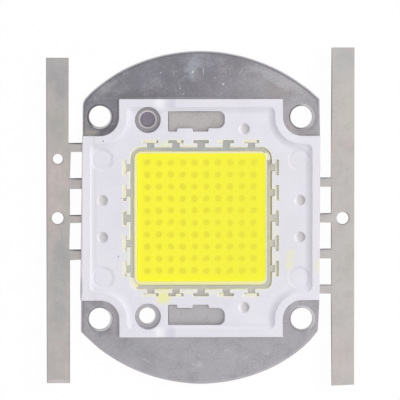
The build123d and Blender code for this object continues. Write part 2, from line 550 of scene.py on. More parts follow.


# Materials


# Stains and specks on the plate, with painted shade, painted shadows and a painted reflection among them.
# Patches: x, y, reach in X and in Y, angle, red, green, blue, strength, softness and raggedness
PLATE_STAINS_AND_PAINTED_LIGHT = [
    (-9, 16.5, 2.4, 2.4, 0, 162, 158, 163, 0.9, 0.1, 0),
    (-16.3, 21.5, 2, 0.9, 42, 160, 160, 162, 0.75, 0.6, 0.5),
    (-11.5, 20.5, 4.5, 0.8, 0, 126, 125, 129, 0.7, 0.6, 0.5),
    (-8.5, 24.2, 2.2, 1.4, 20, 139, 139, 150, 0.6, 0.7, 0.5),
    (-14, 21, 1, 0.35, 35, 150, 150, 152, 0.4, 0.5, 0.6),
    (0, 26.3, 2.6, 1, 0, 168, 169, 181, 0.5, 0.7, 0.6),
    (-1.5, 25.4, 1, 1.5, -20, 166, 168, 179, 0.7, 0.5, 0.7),
    (4.5, 25.6, 2.2, 0.9, 20, 138, 135, 139, 0.45, 0.6, 0.7),
    (11.5, 24, 2.8, 0.7, -28, 181, 181, 184, 0.65, 0.6, 0.6),
    (13, 21.4, 2.8, 0.8, -8, 164, 156, 153, 0.55, 0.6, 0.6),
    (16.3, 21.8, 1.8, 0.6, -40, 184, 184, 185, 0.6, 0.6, 0.5),
    (8.6, 25, 1.2, 0.5, -10, 178, 176, 179, 0.5, 0.5, 0.7),
    (-10.7, -22, 5, 2, -30, 162, 161, 165, 0.75, 0.7, 0.4),
    (-9.2, -24, 0.8, 0.25, -35, 180, 178, 180, 0.6, 0.5, 0.6),
    (-0.2, -24.6, 0.5, 0.6, 0, 190, 189, 194, 0.6, 0.5, 0.6),
    (-1.3, -25.6, 0.3, 0.3, 0, 190, 189, 194, 0.6, 0.5, 0.5),
    (-0.3, -23.1, 0.25, 0.12, 30, 196, 195, 200, 0.7, 0.5, 0.5),
    (1.35, -22.4, 0.14, 0.14, 0, 194, 193, 198, 0.7, 0.5, 0.3),
    (2.2, -22.8, 0.1, 0.4, -25, 188, 187, 192, 0.6, 0.5, 0.4),
    (4.3, -22.35, 0.45, 0.12, 0, 198, 197, 201, 0.7, 0.5, 0.4),
    (3.45, -23.6, 0.1, 0.35, -20, 192, 191, 196, 0.6, 0.5, 0.4),
    (-1.2, -24.7, 0.3, 0.12, -20, 194, 193, 198, 0.7, 0.5, 0.5),
    (5.2, -23.7, 1.6, 0.8, 20, 176, 176, 180, 0.5, 0.7, 0.8),
    (7.7, -23.5, 0.5, 0.12, 40, 194, 193, 197, 0.6, 0.5, 0.5),
    (11.2, -22.9, 0.5, 0.22, 10, 194, 193, 198, 0.6, 0.5, 0.6),
    (6.5, -24.8, 3, 1, 5, 180, 179, 184, 0.4, 0.7, 0.6),
    (-17.3, -14.5, 0.8, 1.2, 0, 146, 144, 150, 0.6, 0.6, 0.5),
    (-18.6, 14.3, 1.3, 0.55, 5, 180, 173, 164, 0.75, 0.6, 0.5),
    (-19.2, 16, 0.5, 1.6, 0, 160, 156, 152, 0.6, 0.6, 0.5),
    # Painted shade below and to the right of the two left screw holes
    (-16.1, 14.75, 1.5, 0.34, 24, 112, 110, 114, 0.7, 0.5, 0.2),
    (-16.2, -19.25, 1.5, 0.3, 24, 132, 130, 136, 0.6, 0.5, 0.2),
    (18.6, 17, 0.35, 1.6, 0, 186, 182, 184, 0.5, 0.6, 0.5),
    (-6.77, 24.4, 0.11, 0.11, 0, 214, 214, 220, 0.85, 0.5, 0.1),
    (-1.34, 24.52, 0.14, 0.24, -20, 222, 222, 230, 0.85, 0.5, 0.2),
    (0.45, 24.6, 0.07, 0.6, 0, 206, 208, 217, 0.7, 0.5, 0.2),
    (-3.5, 21.75, 0.13, 0.13, 0, 196, 194, 198, 0.75, 0.5, 0.2),
    (-2.93, 20.83, 0.13, 0.18, -30, 194, 192, 196, 0.75, 0.5, 0.2),
    (-3.6, 22.5, 0.11, 0.7, 12, 162, 160, 166, 0.6, 0.5, 0.4),
    (-3, 23.4, 0.7, 0.13, 42, 160, 159, 164, 0.5, 0.5, 0.4),
    (6.75, 24.55, 0.1, 0.55, -38, 194, 190, 194, 0.6, 0.5, 0.3),
    (7.4, 24.3, 0.1, 0.65, -38, 188, 184, 188, 0.5, 0.5, 0.3),
    (2.4, 23.5, 0.12, 0.11, 0, 200, 198, 202, 0.75, 0.5, 0.2),
    (3.78, 22.47, 0.13, 0.15, 0, 226, 224, 228, 0.85, 0.5, 0.1),
    (5.15, 22.3, 0.12, 0.12, 0, 182, 179, 182, 0.6, 0.5, 0.2),
    (-10.9, 25, 0.1, 0.1, 0, 168, 167, 171, 0.6, 0.5, 0.2),
    (-6.05, 21.1, 0.16, 0.16, 0, 162, 161, 166, 0.6, 0.5, 0.2),
    (13.6, 22.9, 1.8, 1, -32, 185, 183, 186, 0.7, 0.6, 0.5),
    (-16.6, -20, 1.6, 1.5, 0, 150, 149, 154, 0.5, 0.7, 0.4),
    (14.9, 15.2, 0.8, 1.7, -30, 184, 175, 172, 0.6, 0.6, 0.3),
    (16.9, 14.5, 2, 0.5, 0, 182, 174, 171, 0.6, 0.6, 0.3),
    (-9, -16.5, 2.4, 2.4, 0, 188, 186, 191, 0.85, 0.1, 0),
    # Painted reflection of the frame's wall on the plate along the frame's upper edge
    (0, 20.12, 13, 0.2, 0, 194, 192, 197, 0.4, 0.6, 0.02),
    # Painted shadows on the plate along the left and upper edges of both slots and under the lug
    (-5.44, -16.25, 0.08, 1.75, 0, 112, 108, 112, 0.75, 0.35, 0.05),
    (-4.75, -14.7, 0.75, 0.07, 0, 130, 126, 130, 0.6, 0.4, 0.05),
    (-2.75, -15.27, 1.3, 0.08, 0, 122, 118, 122, 0.7, 0.4, 0.05),
    (-5.44, 16.25, 0.08, 1.75, 0, 112, 108, 112, 0.75, 0.35, 0.05),
    (-0.8, 17.83, 4.2, 0.08, 0, 140, 136, 140, 0.6, 0.35, 0.05),
    (-8.95, 16.56, 1.22, 1.22, 0, 136, 128, 142, 0.9, 0.06, 0),
]
# Painted shade and painted highlights round the screw holes, the locator hole and the blind pit. Arcs: x, y,
# radius, width, direction, spread, red, green, blue and strength. Direction 145 is the upper left, and a
# spread of -1 goes all round.
PLATE_MOUTH_SHADE_AND_HIGHLIGHTS = [
    (-17, 17, 1.98, 0.22, 135, 0.2, 84, 82, 88, 0.85),
    (-17, 17, 2.15, 0.3, -50, 0.4, 110, 109, 112, 0.7),
    (-17, 17, 1.92, 0.2, -40, 0.4, 226, 225, 226, 0.8),
    (-17, -17, 1.94, 0.2, 140, 0.3, 112, 110, 116, 0.6),
    (-17, -17, 2, 0.18, -35, 0.55, 228, 227, 230, 0.9),
    (-17, -17, 2.2, 0.12, -50, 0.4, 120, 118, 122, 0.6),
    (16.95, 16.94, 2, 0.2, 100, 0.25, 124, 120, 122, 0.6),
    (16.95, 16.94, 2, 0.16, 172, 0.12, 112, 100, 100, 0.8),
    (16.95, 16.94, 2.06, 0.24, 12, 0.5, 220, 218, 221, 0.8),
    (16.95, 16.94, 2.45, 0.4, -35, 0.4, 150, 147, 151, 0.4),
    (17.03, -17.09, 2.06, 0.24, 28, 0.45, 226, 224, 226, 0.85),
    (17.03, -17.09, 2, 0.16, 165, 0.3, 146, 126, 126, 0.6),
    (-8.95, 16.56, 1.42, 0.13, 20, -1, 222, 217, 219, 0.85),
    (-9, -16.5, 1.42, 0.2, 10, 0.2, 214, 214, 216, 0.6),
]


def nickel_plate(settings):
    """Satin nickel plating on the base plate."""
    material, shader, place = surface("Satin nickel")
    x, y, z = axes(place)
    cloud = use_group("Mottle", place, Size=2.4, Fine_size=0.4, Fine_share=0.5)
    grain = use_group("Rolled grain", place, Width=3.0, Length=0.2)
    light, dark = colour(205, 204, 209), colour(106, 105, 111)
    tone = plain = blend(ramp(x - y * 0.75, -21, 1), opaque(settings.dull_colour), opaque(settings.colour))
    far_x, far_y = abs(x), abs(y)
    in_slot = ramp(far_y, 18.0, 18.2, 1, 0) * ramp(far_y, 14.2, 14.4) * ramp(far_x, 5.8, 6.2, 1, 0)
    tone = blend(in_slot, tone, blend(ramp(y, 0, 1, 1, 0), colour(190, 185, 184), colour(183, 181, 183)))
    tone = add_patches(place, tone, PLATE_STAINS_AND_PAINTED_LIGHT)
    tone = blend(ramp(cloud, 0.5, 1.0, 0, 0.22), tone, light)
    tone = blend(ramp(cloud, 0.5, 0.0, 0, 0.24), tone, dark)
    tone = add_arcs(place, tone, PLATE_MOUTH_SHADE_AND_HIGHLIGHTS)

    # Painted highlight along the plate's rounded outer edge, with a painted shade line inside it, strongest
    # at the top
    near = attribute(place.tree, "from_edge")
    at_left = ramp(x, -19.0, -19.6) * ramp(y, -13.0, -14.5, 0.1, 0.7)
    worn_and_highlit = highest(ramp(y, 16, 20) * ramp(x, -20, 14, 0.75, 0.95), at_left, ramp(y, -17, -20, 0, 0.35))
    edge_shade_line = ramp(near, 0.22, 0.34) * ramp(near, 0.4, 0.56, 1, 0)
    edge_shade_side = highest(ramp(y, 16, 20) * ramp(x, 4, 14, 0.1, 0.6), at_left * 0.3)
    tone = blend(edge_shade_line * edge_shade_side, tone, colour(112, 110, 118))
    tone = blend(ramp(near, 0.14, 0.28, 1, 0) * worn_and_highlit, tone, colour(200, 198, 204))

    # Underside and lower half of the edge: plain
    clouded = blend(ramp(cloud, 0.2, 0.8, 0, 0.2), plain, light)
    tone = blend(ramp(z, 1.1, 1.2), clouded, tone)
    finish(shader, tone, ramp(cloud, 0, 1, 0.3, 0.42), (grain * 0.5 + cloud, 0.003, 0.6), Metallic=1.0)
    return material


# Silicone flash, drops and specks on the frame, with painted shade and painted highlights among them
FRAME_FLASH_SPECKS_AND_PAINTED_LIGHT = [
    (-6.3, -13.3, 1.05, 1, 0, 237, 239, 156, 0.85, 0.7, 0.2),
    (-6.4, -12.2, 1, 0.4, 0, 238, 236, 200, 0.7, 0.5, 0.3),
    (-6.15, 12.43, 0.65, 0.5, 0, 231, 236, 200, 0.8, 0.5, 0.3),
    (-2.1, -12.4, 0.9, 0.3, 0, 240, 240, 205, 0.6, 0.5, 0.3),
    (2.1, -12.5, 0.7, 0.35, 0, 238, 240, 208, 0.5, 0.5, 0.3),
    (-2.1, 12.3, 0.9, 0.3, 0, 240, 238, 208, 0.5, 0.5, 0.3),
    (12.5, -2.2, 0.7, 1.1, 0, 240, 238, 212, 0.7, 0.5, 0.4),
    (12.5, -6.6, 0.7, 0.9, 0, 232, 235, 216, 0.7, 0.5, 0.4),
    (12.5, 2.1, 0.5, 0.9, 0, 238, 235, 226, 0.5, 0.5, 0.4),
    (-12.4, 6.6, 0.5, 0.8, 0, 236, 234, 224, 0.5, 0.5, 0.4),
    (-12.4, -6.2, 0.5, 1, 0, 230, 234, 222, 0.6, 0.5, 0.4),
    (-16.44, 12.99, 0.11, 0.15, 10, 120, 116, 130, 0.8, 0.5, 0.1),
    (-13.92, -6.39, 0.1, 0.16, 20, 140, 132, 150, 0.8, 0.5, 0.1),
    (-13.45, 3.37, 0.12, 0.08, 0, 205, 150, 172, 0.7, 0.5, 0.1),
    (14.75, -7.3, 0.6, 1.7, 0, 236, 237, 188, 0.8, 0.6, 0.5),
    (15.2, -5.9, 0.65, 0.6, 0, 236, 237, 196, 0.7, 0.6, 0.5),
    (19.4, -8, 0.55, 1.1, 0, 233, 236, 186, 0.8, 0.6, 0.4),
    # Painted shadow along the frame's left side, a painted highlight and painted shade on the left cove, and
    # the shaded right cove painted lighter
    (-20.15, -11.6, 0.16, 1.9, 0, 148, 142, 164, 0.75, 0.5, 0.3),
    (-20.06, 0, 0.18, 9, 0, 182, 178, 194, 0.7, 0.5, 0.3),
    (-19.4, 0, 0.7, 13, 0, 237, 235, 240, 0.6, 0.5, 0.1),
    (-17.95, 0, 0.4, 12.6, 0, 210, 208, 213, 0.6, 0.6, 0.1),
    (18.95, 0, 1.1, 13.6, 0, 229, 226, 234, 0.7, 0.4, 0.1),
    (20, 0, 0.13, 13.6, 0, 204, 200, 205, 0.7, 0.4, 0.1),
    (14.5, 8.6, 3.2, 3, 0, 222, 220, 226, 0.5, 0.7, 0.3),
    (14, -4, 3, 6, 0, 224, 222, 227, 0.45, 0.7, 0.3),
    # Painted highlight on the frame below the lower slot
    (-0.8, -18.2, 4.7, 0.16, 0, 241, 240, 244, 0.6, 0.5, 0.1),
    (0, -18.45, 13, 0.2, 0, 237, 235, 239, 0.6, 0.6, 0.2),
    # Painted shade and painted highlights on the two sprue marks
    (-5.3, -19.2, 0.7, 0.8, 0, 204, 202, 222, 0.45, 0.8, 0.2),
    (-5.3, 19.2, 0.7, 0.8, 0, 208, 206, 226, 0.4, 0.8, 0.2),
    (-7, -19.2, 0.7, 0.9, 0, 243, 242, 248, 0.5, 0.8, 0.2),
    (-7, 19.2, 0.9, 0.9, 0, 243, 241, 247, 0.6, 0.8, 0.2),
    (-9.85, 12.85, 0.35, 0.35, 0, 233, 230, 228, 0.8, 0.6, 0.2),
]


def moulded_white(settings):
    """White moulded plastic of the frame."""
    material, shader, place = surface("White moulding")
    x, y, _ = axes(place)
    cloud = use_group("Mottle", place, Size=5.0, Fine_size=0.22, Fine_share=0.5)
    tone = blend(ramp(cloud, 0.3, 1.0, 0, 0.25), opaque(settings.colour), colour(212, 210, 219))
    tone = blend(ramp(cloud, 0.5, 0.0, 0, 0.3), tone, colour(238, 235, 240))
    # Painted shade in the cove between rim and field
    tone = blend(attribute(place.tree, "cove_shade") * 0.36, tone, colour(217, 215, 226))
    by_window = ramp(attribute(place.tree, "from_window"), 0.05, 0.34, 1, 0) * ramp(cloud, 0.1, 0.7, 0.35, 1)
    tone = blend(by_window * 0.75, tone, colour(243, 241, 216))
    tone = add_patches(place, tone, FRAME_FLASH_SPECKS_AND_PAINTED_LIGHT)
    # Painted shade inside the dimples, darkest towards their right side
    shaded = [(at + 0.16, up, 0.74, 0.84, 0, 198, 195, 194, 0.75, 0.35, 0) for at, up in DIMPLES]
    tone = add_patches(place, tone, shaded)
    # Painted shade and painted highlights on opposite edges of the recessed ejector marks
    for at, up in EJECTOR_PLACES:
        dark, light = (25, 200) if at < 0 else (80, 170)
        arcs = [(at, up, radius, 0.16, dark, 0.55, 206, 201, 212, 0.55) for radius in (1.84, 1.5)]
        tone = add_arcs(place, tone, arcs + [(at, up, 1.84, 0.16, light, 0.6, 240, 237, 243, 0.4)])
    gate = ramp(abs(y), 18.0, 18.4) * ramp(x, -7.9, -7.5) * ramp(x, -4.4, -4.0, 1, 0)
    finish(shader, tone, mix(gate, ramp(cloud, 0, 1, 0.48, 0.58), 0.16), (cloud, 0.006, 0.5))
    return material


CONTACT_MARKS = [
    (-24.3, 6.5, 1.6, 5, 3, 204, 190, 187, 0.7, 0.7, 0.3),
    (-23.6, 21.6, 1.1, 2.6, 0, 166, 166, 170, 0.7, 0.7, 0.3),
    (23.9, -23.2, 1.4, 2.8, 0, 202, 187, 185, 0.5, 0.7, 0.3),
    (-23.7, -14.6, 1.4, 3, 0, 170, 171, 172, 0.7, 0.7, 0.3),
    (-24.9, -1, 1, 3, 0, 198, 182, 180, 0.6, 0.7, 0.3),
    (-23.4, -7, 1.3, 4.2, -5, 168, 169, 168, 0.8, 0.7, 0.3),
    (-24.2, 16, 1.4, 2.6, 8, 176, 177, 170, 0.5, 0.7, 0.4),
    (-24, 25, 2.4, 2.4, 0, 172, 171, 173, 0.8, 0.7, 0.3),
    (-23.2, 3.6, 0.9, 2, 0, 182, 180, 174, 0.5, 0.7, 0.4),
    (-22.75, -25.4, 0.1, 1.5, 0, 212, 190, 196, 0.7, 0.5, 0.2),
    (-24.1, -27.35, 1.9, 0.26, 0, 212, 200, 206, 0.7, 0.5, 0.3),
    (24.4, 18, 1.3, 5, 4, 204, 199, 190, 0.6, 0.7, 0.3),
    (24.6, 12.4, 1, 1.4, 30, 192, 182, 184, 0.6, 0.7, 0.4),
    (21.95, 11.9, 0.16, 0.9, 0, 222, 184, 172, 0.85, 0.5, 0.3),
    (24, 26, 2.4, 2.4, 0, 190, 189, 189, 0.7, 0.7, 0.3),
    (24.6, -8, 1.2, 3.5, 0, 194, 192, 185, 0.5, 0.7, 0.4),
    (11.45, 3.5, 0.3, 0.35, 0, 205, 196, 140, 0.8, 0.5, 0.4),
    (11.45, -3.3, 0.26, 0.42, 0, 186, 180, 112, 0.9, 0.5, 0.3),
    (-11.55, 3.45, 0.3, 0.35, 0, 205, 198, 140, 0.8, 0.5, 0.3),
    (-11.5, -3.4, 0.3, 0.4, 0, 214, 210, 130, 0.7, 0.5, 0.4),
    (0, 12.35, 12, 1.15, 0, 176, 179, 177, 0.9, 0.2, 0.05),
    (0, -12.7, 11, 0.6, 0, 182, 176, 172, 0.7, 0.4, 0.2),
    (11.6, 0, 0.32, 9, 0, 212, 207, 182, 0.75, 0.4, 0.3),
    (-11.75, -1, 0.2, 8, 0, 190, 187, 176, 0.35, 0.4, 0.3),
    (11.45, 10, 0.5, 1.6, 0, 176, 170, 165, 0.8, 0.4, 0.2),
    (0.3, -11.32, 10.5, 0.1, 0, 160, 156, 142, 0.5, 0.5, 0.2),
    (0.1, 13, 0.9, 0.25, 0, 160, 160, 150, 0.5, 0.5, 0.3),
]


def contact_edge_shade():
    """Painted shade along the contacts' edges: dark lines on the tabs' upper edges and the strips' left ones.
    """
    lines = []
    for strip, turn in STRIPS:
        for (near_x, near_y), (far_x, far_y) in tab_slopes(strip, turn):
            x, y = (near_x + far_x) / 2, (near_y + far_y) / 2 - 0.11
            lean = math.degrees(math.atan2((far_y - near_y) * turn, abs(far_x - near_x)))
            dark = (104, 102, 110) if turn < 0 else (160, 157, 162)
            lines.append((x, y, 1.15, 0.11, lean, *dark, 0.75, 0.5, 0.05))
            lines.append((x - turn * 0.5, y - 0.03, 0.7, 0.16, lean, *dark, 0.5, 0.5, 0.05))
    lines.append((21.92, 20.5, 0.12, 7.8, 0, 136, 133, 136, 0.7, 0.4, 0.05))
    lines.append((21.94, -20.8, 0.12, 7.2, 0, 140, 137, 140, 0.7, 0.4, 0.05))
    for y in (-9, -3, 3):
        lines.append((21.9, y, 0.11, 2.1, 0, 140, 137, 140, 0.7, 0.4, 0.05))
        lines.append((-22.1, y, 0.1, 2.1, 0, 146, 142, 146, 0.4, 0.4, 0.1))
    lines.append((-25.9, 0, 0.16, 27.6, 0, 164, 158, 173, 0.65, 0.5, 0.05))
    lines.append((-22.1, -20.5, 0.12, 7.4, 0, 146, 142, 146, 0.55, 0.4, 0.1))
    lines.append((-22.15, 20.5, 0.12, 7.4, 0, 146, 142, 148, 0.6, 0.4, 0.1))
    return lines


PILOT_ARCS = [
    (23.8, 0, 1.1, 0.16, -30, 0.2, 132, 128, 130, 0.6),
    (-24.08, 0, 1.08, 0.14, 0, -1, 146, 140, 142, 0.45),
    (-24.08, 9.9, 0.9, 0.14, 0, -1, 146, 140, 142, 0.45),
]


def plated_contact(settings):
    """Silver-plated copper strip of the contacts."""
    material, shader, place = surface("Silver plate")
    x, _, _ = axes(place)
    far_x = abs(x)
    cloud = use_group("Mottle", place, Size=2.6, Fine_size=0.4)
    stain = use_group("Mottle", place, Size=0.9, Fine_size=1.7, Fine_share=0.5)
    along, across = (
        use_group("Rolled grain", place, Angle=angle, Width=0.14, Length=5.0) for angle in (0.0, math.pi / 2)
    )
    grain = mix(ramp(far_x, 22.6, 22.9, 1, 0) * ramp(far_x, 19.0, 19.4), along, across)
    tone = blend(ramp(x, -21, 18), opaque(settings.shade), opaque(settings.colour))
    tone = blend(ramp(far_x, 13.8, 14.2, 1, 0), tone, opaque(settings.ring_colour))
    tone = add_patches(place, tone, CONTACT_MARKS)
    for value, end, share, shade in (
        (stain, 1.0, 0.3, (200, 184, 182)),
        (stain, 0.0, 0.3, (178, 181, 170)),
        (cloud, 1.0, 0.16, (214, 208, 204)),
        (cloud, 0.0, 0.12, (140, 138, 140)),
        (grain, 0.0, 0.12, (140, 136, 136)),
    ):
        tone = blend(ramp(value, 0.5, end, 0, share), tone, colour(*shade))
    # Painted shade along the contacts' edges, then dark rings round the pilot holes
    tone = add_arcs(place, add_patches(place, tone, contact_edge_shade()), PILOT_ARCS)
    finish(shader, tone, ramp(grain, 0, 1, 0.3, 0.4), (grain, 0.003, 0.4), Metallic=1.0)
    return material


SILICONE_MARKS = [
    (-6.38, -11.85, 1.15, 0.3, 0, 236, 236, 96, 0.95, 0.3, 0.15),
    (2, -11.85, 1.3, 0.3, 0, 226, 218, 120, 0.7, 0.4, 0.3),
    (6.3, -11.85, 1.2, 0.3, 0, 216, 222, 140, 0.6, 0.4, 0.3),
    (-11.2, 0, 0.26, 10.5, 0, 243, 238, 196, 0.75, 0.4, 0.05),
    (0, 11.12, 10.4, 0.17, 0, 243, 238, 188, 0.75, 0.4, 0.05),
    (10.98, -0.5, 0.16, 10, 0, 228, 223, 158, 0.6, 0.3, 0.05),
    (-11.6, -10.7, 0.6, 1, 0, 238, 235, 222, 0.9, 0.3, 0.1),
    (11.5, 10.4, 0.45, 0.7, 0, 224, 222, 208, 0.9, 0.3, 0.1),
    (-9.7, 12.85, 0.3, 0.4, 0, 234, 231, 229, 0.8, 0.5, 0.2),
]


def cream_silicone(settings):
    """Cream silicone of the bead and its flash."""
    material, shader, place = surface("Cream silicone")
    x, y, _ = axes(place)
    cloud = use_group("Mottle", place, Size=1.2, Fine_size=0.25)
    far_y = abs(y)
    out = highest(abs(x), far_y)
    tone = blend(ramp(out, 11.3, 11.75), opaque(settings.bead_colour), opaque(settings.flash_colour))
    film = blend(ramp(x, 12.0, 12.2), colour(187, 178, 138), colour(212, 209, 190))
    tone = blend(ramp(x, 11.6, 11.7) * ramp(far_y, 9.8, 9.9, 1, 0), tone, film)
    left = ramp(x, -10.7, -10.95) * ramp(out, 11.4, 11.6, 1, 0) * ramp(x, -11.1, -10.95)
    tone = blend(left * 0.5, tone, colour(240, 226, 200))
    tone = blend(ramp(cloud, 0.4, 1.0, 0, 0.3), tone, colour(244, 242, 222))
    tone = blend(ramp(attribute(place.tree, "by_fill"), 0.35, 1.0, 0, 0.8), tone, colour(247, 243, 100))
    tone = add_patches(place, tone, SILICONE_MARKS)
    soft = {"Subsurface_Weight": 0.1, "Subsurface_Radius": (0.0006, 0.0005, 0.0003), "Subsurface_Scale": 1.0}
    finish(shader, tone, ramp(cloud, 0, 1, 0.3, 0.45), (cloud, 0.01, 0.5), **soft)
    return material


def phosphor_yellow(settings):
    """Phosphor-loaded silicone, with the chips showing through as darker spots."""
    material, shader, place = surface("Phosphor silicone")
    x, y, _ = axes(place)
    cloud = use_group("Mottle", place, Size=1.1, Fine_size=0.2)
    moved = [at - shift * 1000 for at, shift in zip((x, y), settings.spot_shift)]
    pitches = [pitch * 1000 for pitch in settings.spot_pitch]
    steps = [(calc("FRACT", at / pitch) - 0.5) * pitch for at, pitch in zip(moved, pitches)]
    near = calc("SQRT", calc("POWER", steps[0], 2.0) + calc("POWER", steps[1], 2.0))
    lean = steps[1] - steps[0]
    spot = ramp(cloud * 0.26 + (lean * 0.06 + near), 0.38, 0.86, 1, 0)
    heart = ramp(lean * -0.25 + near, 0.0, 0.34, 0.36, 0)
    inner = ramp(highest(*map(abs, moved)), 9.6, 10.3, 1, 0)
    fill = opaque(settings.fill_colour)
    tone = blend(inner * 0.8, fill, opaque(settings.field_colour))
    tone = blend(ramp(cloud, 0.3, 1.0, 0, 0.25), tone, fill)
    tone = blend((spot - heart) * inner, tone, opaque(settings.spot_colour))
    tone = blend(ramp(x, -9, 12, 0, 0.35), tone, colour(236, 231, 66))
    finish(shader, tone, ramp(cloud, 0, 1, 0.42, 0.52), (cloud, 0.01, 0.4))
    return material


def hidden_material(name, sizes, shades, roughness, metallic):
    """A mottled material for the chips and wires under the silicone."""
    material, shader, place = surface(name)
    cloud = use_group("Mottle", place, Size=sizes[0], Fine_size=sizes[1])
    tone = blend(cloud, *(colour(*shade) for shade in shades))
    finish(shader, tone, ramp(cloud, 0, 1, *roughness), Metallic=metallic)
    return material


# Settings


def length(name, description, default, high=0.1):
    """A size that a user can change."""
    return FloatProperty(
        name=name, description=description, default=default, min=0, max=high, precision=5,
        subtype="DISTANCE", unit="LENGTH",
    )


def pair(name, description, default, precision=5, unit="LENGTH"):
    """Two sizes or angles that a user can change."""
    return FloatVectorProperty(
        name=name, description=description, default=default, size=2, precision=precision,
        subtype="XYZ", unit=unit,
    )


def tint(name, description, shade):
    """A colour that a user can change."""
    return FloatVectorProperty(
        name=name, description=description, default=colour(*shade)[:3], min=0, max=1, size=3, subtype="COLOR"
    )


class LEDMODULE_PG_plate(bpy.types.PropertyGroup):
    """The base plate."""

    diameter: length("Diameter", "Across the plate's two arcs", 0.056)
    edge: length("Edge", "Width of the worn outer edges", 0.00045)
    mouth: length("Hole mouths", "Width of the worn mouths of the holes", 0.00026)
    screw_pitch: length("Screw pitch", "Between screw holes, both ways", 0.034)
    screw_hole: length("Screw hole", "Diameter of a screw hole at its neck", 0.0036)
    colour: tint("Colour", "Nickel where it is bright", (173, 170, 175))
    dull_colour: tint("Dull colour", "Nickel where it is dull", (136, 134, 141))


class LEDMODULE_PG_frame(bpy.types.PropertyGroup):
    """The moulded frame."""

    land: length("Screw land", "Radius of the cut-out round a screw", 0.0032)
    rim: length("Rim", "Width of the raised rim", 0.0013)
    sink: length("Field depth", "How far the field lies under the rim", 0.00042)
    cove: length("Cove", "Width of the cove from rim to field", 0.0013)
    edge: length("Edge", "Radius of the moulded edges", 0.00008)
    window: length("Window", "Half the width of the window", 0.01195)
    colour: tint("Colour", "White plastic", (230, 228, 236))


class LEDMODULE_PG_contact(bpy.types.PropertyGroup):
    """The two stamped contacts."""

    edge: length("Edge", "Radius left by the press", 0.0001)
    root: length("Root", "Radius where a tab meets the strip", 0.00013)
    colour: tint("Colour", "Silver plate of the right strip", (197, 193, 191))
    shade: tint("Shade", "Silver plate of the left strip", (186, 181, 179))
    ring_colour: tint("Ring colour", "Silver plate inside the window", (200, 199, 187))


class LEDMODULE_PG_silicone(bpy.types.PropertyGroup):
    """The silicone bead and the phosphor fill."""

    bead_colour: tint("Bead", "Cream silicone", (240, 235, 178))
    flash_colour: tint("Flash", "Cream silicone that has run into the notches", (235, 232, 210))
    fill_colour: tint("Fill", "Phosphor silicone near the bead", (253, 249, 46))
    field_colour: tint("Field", "Phosphor silicone over the chips", (249, 244, 62))
    spot_colour: tint("Spots", "Phosphor silicone where a chip shows through", (233, 223, 55))
    spot_pitch: pair("Spot pitch", "Between the chips, in X and in Y", (0.001985, 0.002015), 6)
    spot_shift: pair("Spot shift", "Where the middle of the spots lies", (-0.00016, 0.00031))


class LEDMODULE_PG_stage(bpy.types.PropertyGroup):
    """Camera, floor and light."""

    height: length("Camera distance", "From the camera to the rim", 0.8, 2.0)
    width: length("Picture width", "What the picture spans at the rim", 0.06707, 1.0)
    middle: pair("Middle", "What the camera looks at", (-0.00023, 0.00312))
    lean: pair("Lean", "How far the camera leans to the left and to the back", (0.042, 0.046), 3, "ROTATION")
    sky: FloatProperty(name="Sky", description="Light from all round", default=0.45, min=0, max=5)
    key: FloatProperty(
        name="Key lamp", description="Power of the lamp at the right", default=3.9, min=0, max=100,
        unit="POWER",
    )


# Pieces


# Half the width of the square well that the chips stand in
WELL_HALF = 9.9
# The studs that go down through the plate
STUD_PLACES = [(x, y) for x in (-16.6, 16.6) for y in (-9.95, 9.95)]
STUD_HALF = 1.1
# How far each of the plate's arcs is from true, as (x, distance) pairs
TOP_ARC = [
    (-20, 0), (-17, 0), (-13.6, 0.08), (-7, 0.04), (0, 0.02), (10, 0.03), (16.6, 0.13), (18.6, 0.24),
    (20, 0.26),
]
BOTTOM_ARC = [
    (-20, -0.26), (-19.3, -0.23), (-18.3, -0.16), (-17, -0.11), (-10, -0.08), (-3.5, -0.03), (0, 0.03),
    (3, 0), (13.2, 0), (16.6, -0.09), (17.7, -0.18), (18.7, -0.25), (20, -0.3),
]
# The same for its flats, as (y, distance) pairs
LEFT_FLAT = [(-18, -0.17), (15, 0.18)]
RIGHT_FLAT = [
    (-19, -0.25), (-18, -0.2), (-16.8, -0.12), (-15.4, -0.05), (-14, 0), (14, 0.08), (16, 0.03), (20, 0)
]
# The radii of its corners, by the arc's side and the step along it
PLATE_CORNERS = {(1, 0): 2.0, (1, 80): 0.4, (-1, 0): 0.8, (-1, 80): 0.6}
# How far a worn edge and a worn mouth have fallen, as (distance, drop) shares of their width
WORN_EDGE = ((0, 1.0), (0.45, 0.2), (0.6, 0.1), (1, 0))
WORN_MOUTH = ((0, 2.4), (0.5, 0.4), (0.7, 0.12), (1, 0))
# The blind pit: its place and radius, its depth, and the depth and width of its worn mouth
PIT = (-8.95, 16.56, 1.22)
PIT_DEPTH = 0.7
PIT_MOUTH = (0.1, 0.22)


def mirrored(line, x=1, y=1):
    """The outline mirrored in X or Y."""
    return [(px * x, py * y) for px, py in line]


def stud_lines():
    """The outlines of the studs."""
    return [square(x, y, STUD_HALF) for x, y in STUD_PLACES]


def plate_holes(settings):
    """The plate's round holes through it, as (x, y, radius)."""
    half, radius = settings.screw_pitch * 500, settings.screw_hole * 500
    return [
        (-half, -half, radius + 0.03),
        (0.05 - half, half + 0.04, radius),
        (half - 0.05, half - 0.06, radius + 0.04),
        (half + 0.03, -half - 0.09, radius + 0.04),
        (-9.0, -16.5, 1.36),
    ]


